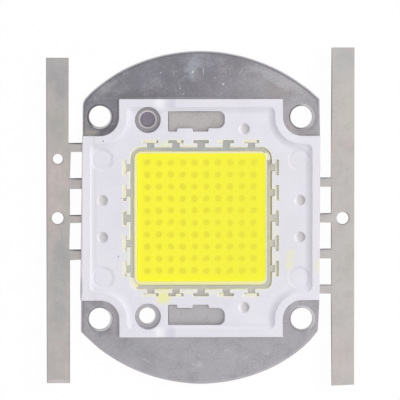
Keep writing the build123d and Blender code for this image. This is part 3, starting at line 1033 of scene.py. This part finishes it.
def plate_outline(settings):
    """The plate's outline: two arcs and two flats, all a little out of true."""
    radius = settings.diameter * 500
    reach = math.asin(PLATE_HIGH.x / radius)
    corners = []
    for side, errors in ((1, TOP_ARC), (-1, BOTTOM_ARC)):
        for step in (0, *range(4, 77), 80):
            across = radius * math.cos(side * math.pi / 2 + reach * (1 - step / 40))
            far = radius + float(read_off(across, errors))
            corners.append((across, side * math.sqrt(far**2 - across**2), PLATE_CORNERS.get((side, step), 0)))
        corners += [(side * PLATE_HIGH.x, side * y, 0) for y in (16, 14, 0, -14, -15.4, -16.8)]
    return askew(rounded(corners, 12), LEFT_FLAT, RIGHT_FLAT)


class LEDMODULE_OT_plate(bpy.types.Operator):
    """Makes the plated base plate"""

    bl_idname = "led_module.plate"
    bl_label = "Base plate"

    def execute(self, context):
        settings = context.scene.led_plate
        edge, mouth = settings.edge * 1000, settings.mouth * 1000
        worn_edge = [(edge * far, edge * drop) for far, drop in WORN_EDGE]
        worn_mouth = [(mouth * far, mouth * drop) for far, drop in WORN_MOUTH]
        line = plate_outline(settings)
        holes = plate_holes(settings)
        hole_lines = [circle(*hole, 64) for hole in holes]
        pit_line = circle(*PIT, 64)
        deep, wide = PIT_MOUTH
        studs = stud_lines()
        lines = studs + [line] + [grown(line, -far) for far, _ in worn_edge[1:]]
        lines += [circle(x, y, radius + far, 64) for x, y, radius in holes for far, _ in worn_mouth]
        lines += [circle(*PIT[:2], PIT[2] + far, 64) for far in (0, 0.06, 0.2, 0.26)]

        def top(x, y):
            height = PLATE_HIGH.z - read_off(away([line], x, y), worn_edge)
            for hole in hole_lines:
                height = height - read_off(away([hole], x, y), worn_mouth)
            return height - deep * np.clip(1 - away([pit_line], x, y) / wide, 0, 1)

        def bottom(x, y):
            return PLATE_LOW.z + edge_drop(away([line], x, y), edge * 0.4)

        def solid_at(x, y):
            solid = between(line, hole_lines + studs, x, y)
            return [solid, solid & ~within(pit_line, x, y)]

        points, faces = layered(lines, [bottom, PLATE_HIGH.z - PIT_DEPTH, top], solid_at)
        piece = add_piece("plated_base", points, faces, nickel_plate(settings), ["base_plate"])
        add_values(piece, "from_edge", away([line], *plan(points)))
        return {"FINISHED"}


# How far the frame's flat sides are askew, as (y, shift) pairs
FRAME_LEFT = [(-13.8, -0.28), (-9.7, -0.32), (3.0, -0.17), (8.6, 0.0), (13.8, 0.06)]
FRAME_RIGHT = [(-13.8, -0.12), (-12.0, 0.0)]
# Where the screws are in X and in Y, and the radius of the field's outer corners
SCREW_PLACE = 17.0
FIELD_CORNER = 1.1
# The two ring openings
RING_X, RING_Y, RING_RADIUS = -8.96, 16.5, 2.17
NOTCH_PLACES = [4.25 * number for number in (-2, -1, 0, 1, 2)]
# The window's corner radii, from the bottom right one on
WINDOW_RADII = (1.3, 1.9, 1.75, 1.4)
# The six dimples, the outlines along their slope, and their depth
DIMPLES = [(7.27, 14.98), (7.22, -15.0), (-16.6, 3.0), (-16.6, -3.2), (16.6, 3.0), (16.6, -3.2)]
DIMPLE_RADII = (0.94, 0.88, 0.8, 0.7, 0.56, 0.4, 0.2)
DIMPLE_DEPTH = 0.34
# The four ejector marks, the outlines along their edge and groove, and the depth of both
EJECTOR_PLACES = [(-16.6, 9.87), (16.49, 9.87), (-16.46, -9.95), (16.44, -9.97)]
EJECTOR_RADII = (1.36, 1.44, 1.5, 1.56, 1.64, 1.72, 1.86, 1.94)
EJECTOR_DEPTH = 0.03
# The sprue marks at the frame's upper and lower edge: left, right, inner and outer end, and depth
GATE = (-7.7, -4.2, 18.2, 20.3)
GATE_DEPTH = 0.2


def frame_outline(land, inset, corner):
    """The frame's outer outline moved inwards, with its outer corners rounded to a radius."""
    half, inner = FRAME_HIGH.x - inset, SCREW_PLACE - land - inset
    quarter = [(half, inner, corner), (inner, inner, land + inset), (inner, half, corner)]
    corners = quarter + [(-x, y, r) for x, y, r in quarter[::-1]]
    corners += [(x, -y, r) for x, y, r in corners[::-1]]
    return rounded(corners, 12)


def turned(points, quarters):
    """Points turned about the middle by quarter turns."""
    cos, sin = ((1, 0), (0, 1), (-1, 0), (0, -1))[quarters]
    return [(x * cos - y * sin, x * sin + y * cos, *rest) for x, y, *rest in points]


def window_line(half):
    """The window and the T-shaped notches round it, as one outline."""
    neck, end = half + 0.65, half + 1.15
    profile = [(half, 0.6, 0.15), (neck, 0.6, 0.08), (neck, 1.3, 0.12), (end, 1.3, 0.12)]
    side = []
    for middle in NOTCH_PLACES:
        side += [(x, middle - y, r) for x, y, r in profile]
        side += [(x, middle + y, r) for x, y, r in profile[::-1]]
    corners = []
    for quarters, radius in enumerate(WINDOW_RADII):
        corners += turned([(half, -half, radius), *side], quarters)
    return rounded(corners, 4)


def slot_lines():
    """The two slots, with the lugs in their inner walls."""
    inner, outer, lug, slope = 14.55, 17.95, 0.55, 0.1
    corners = [
        (-5.55, outer, 0.15),
        (-5.55, inner, 0.15),
        (-4.0 - slope, inner, 0.08),
        (-4.0, inner + lug, 0.2),
        (-1.45, inner + lug, 0.2),
        (-1.45 + slope, inner, 0.08),
        (1.3 - slope, inner, 0.08),
        (1.3, inner + lug, 0.2),
        (4.0, inner + lug, 1.15),
        (4.0, outer, 1.05),
    ]
    line = rounded(corners, 6)
    return [line, mirrored(line, y=-1)]


# The two strips, as they lie at the right. A tab has its lower edge at the frame and at the strip,
# then its upper edge at both. inner has the strip's inner side below and above each tab.
RIGHT_STRIP = {
    "tabs": [
        (-12.62, -12.79, -11.14, -11.24),
        (-6.84, -6.84, -5.25, -5.16),
        (-0.66, -0.81, 0.71, 0.83),
        (5.22, 5.22, 6.81, 6.81),
    ],
    "inner": [(21.96, 21.85), (21.89, 21.89), (21.84, 21.84), (21.84, 21.84), (21.8, 21.9)],
    "outer": (25.79, 25.78),
    "ends": ((-28.3, -28.15), (28.62, 28.62)),
    "pilots": [(23.8, -0.05, 1.0)],
}
LEFT_STRIP = {
    "tabs": [
        (-12.75, -12.65, -11.14, -11.14),
        (-6.75, -6.75, -5.05, -4.9),
        (-0.7, -0.55, 0.68, 0.8),
        (5.23, 5.23, 6.67, 7.03),
    ],
    "inner": [(22.19, 22.25), (21.86, 22.03), (22.03, 22.03), (22.03, 22.15), (22.03, 22.03)],
    "outer": (26.0, 25.94),
    "ends": ((-26.93, -26.93), (27.71, 27.71)),
    "pilots": [(24.09, -0.05, 0.99), (24.04, -9.99, 0.825)],
}
# Each strip with its turn: 1 at the right, and -1 for the left one, which is turned half round
STRIPS = ((RIGHT_STRIP, 1), (LEFT_STRIP, -1))


def contact_lines(settings, strip, turn):
    """The outlines of a contact: its outside, then its holes."""
    root = settings.root * 1000
    bar, outer = 10.3, 13.6
    tabs, inner = strip["tabs"], strip["inner"]
    low, high = strip["ends"]
    outside = [
        (inner[0][0], low[0], 0.1),
        (strip["outer"][0], low[1], 0.1),
        (strip["outer"][1], high[1], 0.1),
        (inner[-1][1], high[0], 0.1),
        (inner[-1][0], tabs[-1][3], root),
        (outer, tabs[-1][2], 0),
        (outer, WELL_HALF, 0),
        (bar, WELL_HALF, 0),
        (bar, -bar, 0),
        (-outer, -bar, 0),
        (-outer, -outer, 0),
        (outer, -outer, 0),
        (outer, tabs[0][0], 0),
        (inner[0][1], tabs[0][1], root),
    ]
    lines = [rounded(outside, 5)]
    for below, above, (low_x, high_x) in zip(tabs, tabs[1:], inner[1:]):
        gap = [(outer, below[2], 0), (low_x, below[3], root), (high_x, above[1], root), (outer, above[0], 0)]
        lines.append(rounded(gap, 5))
    lines += [circle(x, y, radius, 40) for x, y, radius in strip["pilots"]]
    return [mirrored(line, turn, turn) for line in lines]


def both_contacts(settings):
    """The outlines of the right and the left contact."""
    return [contact_lines(settings, *strip) for strip in STRIPS]


def tab_slopes(strip, turn):
    """Each tab's upper edge: its ends at the frame and at the strip, as (x, y)."""
    slopes = []
    for number, tab in enumerate(strip["tabs"]):
        near, far = (tab[2], tab[3]) if turn > 0 else (-tab[0], -tab[1])
        side = strip["inner"][number + (1 if turn > 0 else 0)][0]
        slopes.append(((20.0 * turn, near), (side * turn, far)))
    return slopes


class LEDMODULE_OT_frame(bpy.types.Operator):
    """Makes the white moulded frame"""

    bl_idname = "led_module.frame"
    bl_label = "Moulded frame"

    def execute(self, context):
        settings = context.scene.led_frame
        land, edge = settings.land * 1000, settings.edge * 1000
        rim, cove, sink = settings.rim * 1000, settings.cove * 1000, settings.sink * 1000
        outline = askew(frame_outline(land, 0, 0.14), FRAME_LEFT, FRAME_RIGHT)
        field = frame_outline(land, rim, FIELD_CORNER)
        window = window_line(settings.window * 1000)
        slots = slot_lines()
        rings = [circle(RING_X, y, RING_RADIUS, 64) for y in (-RING_Y, RING_Y)]
        openings = [window] + slots + rings
        well = square(0, 0, WELL_HALF)
        studs = stud_lines()
        contacts = both_contacts(context.scene.led_contact)
        left, right, inside, outside = GATE
        lines = edge_rings(outline, -edge)
        for step in range(9):
            further = cove * (step / 8) ** 1.3
            lines.append(frame_outline(land, rim + further, max(FIELD_CORNER - further, 0.05)))
        for opening in openings:
            lines += edge_rings(opening, edge)
        lines += [grown(window, wide) for wide in (0.2, 0.4)]
        lines += [well] + studs + [line for contact in contacts for line in contact]
        lines += [circle(x, y, radius, 40) for x, y in DIMPLES for radius in DIMPLE_RADII]
        lines += [circle(x, y, radius) for x, y in EJECTOR_PLACES for radius in EJECTOR_RADII]
        for side in (-1, 1):
            for step in range(6):
                low, high = left + 0.29 * step, right - 0.29 * step
                near, far = inside * side, outside * side
                lines.append([(low, near), (high, near), (high, far), (low, far)])

        def depth(x, y):
            """How far down the cove a place lies, from 0 at the rim to 1 and more in the field."""
            return np.where(within(field, x, y), away([field], x, y), 0) / cove

        def top(x, y):
            step = 1 - np.clip(1 - depth(x, y), 0, 1) ** 2
            gate = np.clip((x - left) / (right - left), 0, 1)
            gate = 4 * gate * (1 - gate) * smooth_step((np.abs(y) - inside + 0.3) / 0.6)
            height = FRAME_HIGH.z - sink * step - GATE_DEPTH * gate * (1 - step)
            height = height - edge_drop(away([outline, *openings], x, y), edge)
            for dimple_x, dimple_y in DIMPLES:
                far = np.hypot(x - dimple_x, y - dimple_y)
                height = height - DIMPLE_DEPTH * np.clip(1 - (far / DIMPLE_RADII[0]) ** 2.6, 0, 1)
            for mark_x, mark_y in EJECTOR_PLACES:
                far = np.hypot(x - mark_x, y - mark_y)
                height = height - EJECTOR_DEPTH * np.clip((1.86 - far) / 0.14, 0, 1)
                height = height - EJECTOR_DEPTH * np.clip(1 - np.abs(far - 1.5) / 0.06, 0, 1)
            return height

        def solid_at(x, y):
            body = between(outline, slots + rings, x, y)
            lower = body & ~within(well, x, y)
            filled = np.any([between(line, holes, x, y) for line, *holes in contacts], 0)
            stud = np.any([within(line, x, y) for line in studs], 0)
            return [stud, lower, lower & ~filled, body & ~within(window, x, y)]

        points, faces = layered(lines, [PLATE_LOW.z, PLATE_HIGH.z, LEAD_BOTTOM, LEAD_TOP, top], solid_at)
        white = moulded_white(settings)
        piece = add_piece("white_frame", drawn_in(points), faces, white, ["moulded_frame"], sharp=30)
        x, y = plan(points)
        add_values(piece, "from_window", away([window], x, y))
        # How strongly painted shade falls in the cove, highest halfway down it
        add_values(piece, "cove_shade", np.sin(np.pi * np.clip(depth(x, y), 0, 1)))

        heaps = []
        for number in (0, 1, 3, 4):
            low, high = NOTCH_PLACES[number] - 0.66, NOTCH_PLACES[number] + 0.66
            bar = [(12.42, low), (12.64, low - 0.04), (12.64, high + 0.04), (12.42, high)]
            heaps.append(heap(rounded([(*corner, 0.05) for corner in bar], 3), 0.36, 0.08))
        points, faces = joined(heaps)
        add_piece("notch_flash", drawn_in(points), faces, white)
        return {"FINISHED"}


def contact_mesh(contact, slopes, edge):
    """Points and faces of a contact, with a slope along each tab's upper edge."""
    lines = edge_rings(contact[0], -edge)
    for hole in contact[1:]:
        lines += edge_rings(hole, edge)
    for (near_x, near_y), (far_x, far_y) in slopes:
        lines.append([(near_x, near_y), (far_x, far_y), (far_x, far_y - 0.1), (near_x, near_y - 0.26)])

    def top(x, y):
        height = LEAD_TOP - edge_drop(away(contact, x, y), edge)
        for (near_x, near_y), (far_x, far_y) in slopes:
            along = (x - near_x) / (far_x - near_x)
            wide = 0.26 - 0.16 * np.clip(along, 0, 1)
            below = near_y + (far_y - near_y) * along - y
            deep = 0.2 if near_x < 0 else 0.1
            sunk = deep * np.clip(1 - below / wide, 0, 1) * ((along > -0.01) & (below > -0.1))
            height = np.minimum(height, LEAD_TOP - sunk * np.clip((1.05 - along) * 5, 0, 1))
        return height

    return layered(lines, [LEAD_BOTTOM, top], lambda x, y: [between(contact[0], contact[1:], x, y)])


class LEDMODULE_OT_contacts(bpy.types.Operator):
    """Makes the two stamped contacts"""

    bl_idname = "led_module.contacts"
    bl_label = "Contacts"

    def execute(self, context):
        settings = context.scene.led_contact
        material = plated_contact(settings)
        names = (("right_contact", "right_leadframe"), ("left_contact", "left_leadframe"))
        for contact, strip, (name, node) in zip(both_contacts(settings), STRIPS, names):
            points, faces = contact_mesh(contact, tab_slopes(*strip), settings.edge * 1000)
            add_piece(name, drawn_in(points), faces, material, [node])
        return {"FINISHED"}


def ring_line(left, right, bottom, top, radii):
    """A rounded rectangle between four sides, with its corner radii from the bottom right one on."""
    corners = [(right, bottom), (right, top), (left, top), (left, bottom)]
    return rounded([(x, y, radius) for (x, y), radius in zip(corners, radii)], 12)


def patch_line(corners, radius, rng):
    """A small outline with rounded corners that are a little out of place."""
    reach = 0.03
    moved = [(x + rng.uniform(-reach, reach), y + rng.uniform(-reach, reach)) for x, y in corners]
    return rounded([(x, y, radius) for x, y in moved], 3)


# Silicone that has run into the notches of each side, as (notch, start, end), by quarter turns
NOTCH_SPANS = {
    1: [(0, -0.95, 1.45), (3, -0.95, -0.05), (1, 0.45, 1.45), (4, -1.06, 1.45)],
    3: [(0, -1.45, 0.95), (1, -0.1, 0.95), (3, -1.45, -0.45), (4, -1.45, 0.95)],
    2: [
        (0, -1.45, 1.45), (1, -1.45, 0.9), (2, -1.45, -1.0), (2, 1.0, 1.45), (3, -1.45, 1.45),
        (4, -1.45, 1.45),
    ],
    0: [(0, -1.45, 1.45), (1, -1.0, 1.45), (3, -1.45, 1.45), (4, -1.45, 1.45)],
}
# The lumps at two of the bead's corners
TOP_LUMP = [(10.5, 9.75), (11.8, 9.7), (11.75, 10.5), (11.3, 11.1), (10.5, 11.0), (10.4, 10.4)]
BOTTOM_LUMP = [(-10.7, -9.9), (-12.1, -9.9), (-12.0, -11.2), (-11.4, -11.9), (-10.7, -11.7), (-10.4, -10.8)]


def silicone_patches():
    """Silicone in the notches and lumps beside the bead: outlines with a height and an edge width."""
    rng = random.Random(4)
    inner, outer = 12.6, 13.25
    patches = []
    for quarters, row in NOTCH_SPANS.items():
        for number, start, end in row:
            low, high = NOTCH_PLACES[number] + start, NOTCH_PLACES[number] + end
            lean = rng.uniform(-0.1, 0.1)
            corners = [(inner, low + lean), (outer, low), (outer, high), (inner, high + lean)]
            height = 0.42 if quarters else 0.2
            patches.append((patch_line(turned(corners, quarters), 0.1, rng), height, 0.14))
    patches.append((patch_line(TOP_LUMP, 0.15, rng), 0.26, 0.22))
    patches.append((patch_line(BOTTOM_LUMP, 0.15, rng), 0.3, 0.22))
    return patches


class LEDMODULE_OT_silicone(bpy.types.Operator):
    """Makes the silicone bead and the phosphor fill"""

    bl_idname = "led_module.silicone"
    bl_label = "Silicone"

    def execute(self, context):
        settings = context.scene.led_silicone
        cream = cream_silicone(settings)
        outer = ring_line(-11.45, 11.06, -11.33, 11.27, [1.25] * 4)
        inner = ring_line(-10.68, 10.69, -10.54, 10.82, [0.65] * 4)
        points, faces = [], []
        # Across the bead, from its outer side to the fill
        shares = [0, 0.05, 0.15, 0.3, 0.5, 0.7, 0.87, 1.0]
        across = len(shares) + 1
        count = len(outer)
        for (outer_x, outer_y), (inner_x, inner_y) in zip(outer, inner):
            for share in shares:
                x = outer_x * (1 - share) + inner_x * share
                y = outer_y * (1 - share) + inner_y * share
                rise = math.sqrt(max(1 - (2 * min(share, 0.75) - 1) ** 2, 0))
                points.append((x, y, LEAD_TOP + (DAM_HIGH.z - LEAD_TOP) * rise))
            points.append((inner_x, inner_y, LEAD_TOP))
        for number in range(count):
            here, there = number * across, (number + 1) % count * across
            for step in range(across):
                after = (step + 1) % across
                faces.append([here + step, there + step, there + after, here + after])
        piece = add_piece("silicone_bead", points, faces, cream, ["silicone_dam"], sharp=60)
        add_values(piece, "by_fill", [*shares, 1.0] * count)

        well = square(0, 0, WELL_HALF)
        lines = [inner] + [grown(inner, -distance) for distance in (0.1, 0.25, 0.5, 0.9)] + [well]

        def fill_top(x, y):
            near = np.clip(1 - away([inner], x, y) / 0.9, 0, 1)
            return FILL_HIGH.z - 0.03 + 0.03 * near**2

        def fill_at(x, y):
            whole = within(inner, x, y)
            return [whole & within(well, x, y), whole]

        points, faces = layered(lines, [FILL_LOW.z, LEAD_TOP, fill_top], fill_at)
        yellow = phosphor_yellow(settings)
        add_piece("phosphor_silicone", points, faces, yellow, ["phosphor_fill"])

        points, faces = joined(heap(*patch) for patch in silicone_patches())
        add_piece("silicone_flash", drawn_in(points), faces, cream)

        half = context.scene.led_frame.window * 1000
        edge = ring_line(-half, half, -half, half, WINDOW_RADII)
        middle = ring_line(-half + 0.03, half - 0.09, -half + 0.05, half - 0.1, WINDOW_RADII)
        inset = ring_line(-half + 0.06, half - 0.17, -half + 0.1, half - 0.19, WINDOW_RADII)
        low, high = half - 0.4, half + 0.2
        stems = []
        for quarters in range(4):
            for notch in NOTCH_PLACES:
                stem = [(low, notch - 0.56), (high, notch - 0.6), (high, notch + 0.6), (low, notch + 0.56)]
                stems.append(turned(stem, quarters))

        def bead_top(x, y):
            return LEAD_TOP + THIN_EDGE + 0.13 * np.clip(1 - away([edge], x, y) / 0.17, 0, 1)

        def bead_at(x, y):
            return [between(edge, [inset, *stems], x, y)]

        points, faces = layered([edge, middle, inset] + stems, [LEAD_TOP - SUNK, bead_top], bead_at)
        add_piece("window_bead", drawn_in(points), faces, cream)
        return {"FINISHED"}


class LEDMODULE_OT_chips(bpy.types.Operator):
    """Finishes the chips and bond wires inside the silicone"""

    bl_idname = "led_module.chips"
    bl_label = "Chips and wires"

    def execute(self, context):
        blues, golds = ((120, 140, 190), (170, 185, 215)), ((214, 168, 74), (230, 190, 100))
        finishes = {
            "die_row": hidden_material("Chip sapphire", (0.5, 0.1), blues, (0.1, 0.2), 0.0),
            "bond_wires": hidden_material("Wire gold", (0.3, 0.05), golds, (0.2, 0.3), 1.0),
        }
        for name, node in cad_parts.items():
            for start, material in finishes.items():
                if name.startswith(start):
                    node.data.materials.clear()
                    node.data.materials.append(material)
        return {"FINISHED"}


def camera_light(tree, strength):
    """A strength for rays from the camera, from mirrors, through glass and from right above, else none."""
    path = outputs(add_node(tree, "ShaderNodeLightPath"))
    close = calc("LESS_THAN", path["Ray Length"], 0.0003) * 0.6
    seen = highest(path["Is Camera Ray"], path["Is Glossy Ray"], close, path["Is Transmission Ray"])
    return seen * strength


FLOOR_HALF, FLOOR_DROP = 1.0, 0.00002
LAMP_SIZE, LAMP_PLACE = 0.45, (0.45, 0.12, 0.52)
SENSOR_WIDTH = 36.0


class LEDMODULE_OT_stage(bpy.types.Operator):
    """Sets up the floor, the light and the camera"""

    bl_idname = "led_module.stage"
    bl_label = "Stage"

    def execute(self, context):
        scene = context.scene
        settings = scene.led_stage
        scene.view_settings.view_transform = "Standard"

        # The floor is white paper from above, clear from below, and lies a little under the plate
        mesh = bpy.data.meshes.new("floor")
        mesh.from_pydata([(x, y, -FLOOR_DROP) for x, y in square(0, 0, FLOOR_HALF)], [], [(0, 1, 2, 3)])
        floor = add_object("floor", mesh)
        paper, shader = new_material("Paper floor")
        tree = paper.node_tree
        fill_in(shader, {"Base Color": (0.9, 0.9, 0.9, 1), "Roughness": 0.8})
        white = add_node(tree, "ShaderNodeEmission", {"Color": (1, 1, 1, 1), "Strength": 1.0})
        lit = {0: camera_light(tree, 0.975), 1: Value(shader.outputs[0]), 2: white}
        sides = {
            0: add_node(tree, "ShaderNodeNewGeometry", output="Backfacing"),
            1: add_node(tree, "ShaderNodeMixShader", lit),
            2: add_node(tree, "ShaderNodeBsdfTransparent"),
        }
        output = next(node for node in tree.nodes if node.type == "OUTPUT_MATERIAL")
        fill_in(output, {"Surface": add_node(tree, "ShaderNodeMixShader", sides)})
        mesh.materials.append(paper)

        # Even light on plain surfaces, and in mirrors a room that is darker to the lower left
        scene.world = bpy.data.worlds.new("Studio")
        scene.world.use_nodes = True
        tree = scene.world.node_tree
        x, y, z = axes(add_node(tree, "ShaderNodeTexCoord", output="Generated"))
        lean = (x - y) * 0.3
        mirror = (lean + 0.97) * ramp(z, 0, 0.55, lean * 0.9 + 0.5, 1)
        path = outputs(add_node(tree, "ShaderNodeLightPath"))
        strength = mix(path["Is Glossy Ray"], settings.sky, mirror)
        strength = mix(highest(path["Is Camera Ray"], path["Is Transmission Ray"]), strength, 1.0)
        fill_in(tree.nodes["Background"], {"Color": (1, 1, 1, 1), "Strength": strength})

        lamp = bpy.data.lights.new("key_lamp", "AREA")
        lamp.energy = settings.key
        lamp.size = LAMP_SIZE
        key = add_object("key_lamp", lamp)
        key.location = LAMP_PLACE
        key.rotation_euler = (-Vector(key.location)).to_track_quat("-Z", "Y").to_euler()
        key.visible_glossy = False

        view = bpy.data.cameras.new("camera")
        view.sensor_width = SENSOR_WIDTH
        view.lens = SENSOR_WIDTH * settings.height / settings.width
        view.clip_start, view.clip_end = 0.01, 10.0
        scene.camera = add_object("camera", view)
        to_left, to_back = settings.lean
        aim = Vector((-math.tan(to_left), math.tan(to_back), 1)).normalized()
        scene.camera.location = Vector((*settings.middle, FRAME_HIGH.z * MM)) + aim * settings.height
        scene.camera.rotation_euler = (-to_back, -to_left, 0)
        return {"FINISHED"}


STEPS = (
    LEDMODULE_OT_stage,
    LEDMODULE_OT_plate,
    LEDMODULE_OT_frame,
    LEDMODULE_OT_contacts,
    LEDMODULE_OT_silicone,
    LEDMODULE_OT_chips,
)

SETTINGS = {
    "led_plate": LEDMODULE_PG_plate,
    "led_frame": LEDMODULE_PG_frame,
    "led_contact": LEDMODULE_PG_contact,
    "led_silicone": LEDMODULE_PG_silicone,
    "led_stage": LEDMODULE_PG_stage,
}


class LEDMODULE_PT_sidebar(bpy.types.Panel):
    """Lists the steps that make the module, and their settings"""

    bl_idname = "LEDMODULE_PT_sidebar"
    bl_label = "LED Module"
    bl_space_type = "VIEW_3D"
    bl_region_type = "UI"
    bl_category = "LED Module"

    def draw(self, context):
        for step in STEPS:
            self.layout.operator(step.bl_idname)
        for name, group_class in SETTINGS.items():
            box = self.layout.box()
            for setting in group_class.__annotations__:
                box.prop(getattr(context.scene, name), setting)


def register():
    for name, group_class in SETTINGS.items():
        bpy.utils.register_class(group_class)
        setattr(bpy.types.Scene, name, PointerProperty(type=group_class))
    for step in STEPS:
        bpy.utils.register_class(step)
    bpy.utils.register_class(LEDMODULE_PT_sidebar)


def unregister():
    bpy.utils.unregister_class(LEDMODULE_PT_sidebar)
    for step in reversed(STEPS):
        bpy.utils.unregister_class(step)
    for name, group_class in SETTINGS.items():
        delattr(bpy.types.Scene, name)
        bpy.utils.unregister_class(group_class)


def main():
    register()
    bpy.ops.led_module.stage()
    bpy.ops.led_module.plate()
    bpy.ops.led_module.frame()
    bpy.ops.led_module.contacts()
    bpy.ops.led_module.silicone()
    bpy.ops.led_module.chips()


if __name__ == "__main__":
    main()
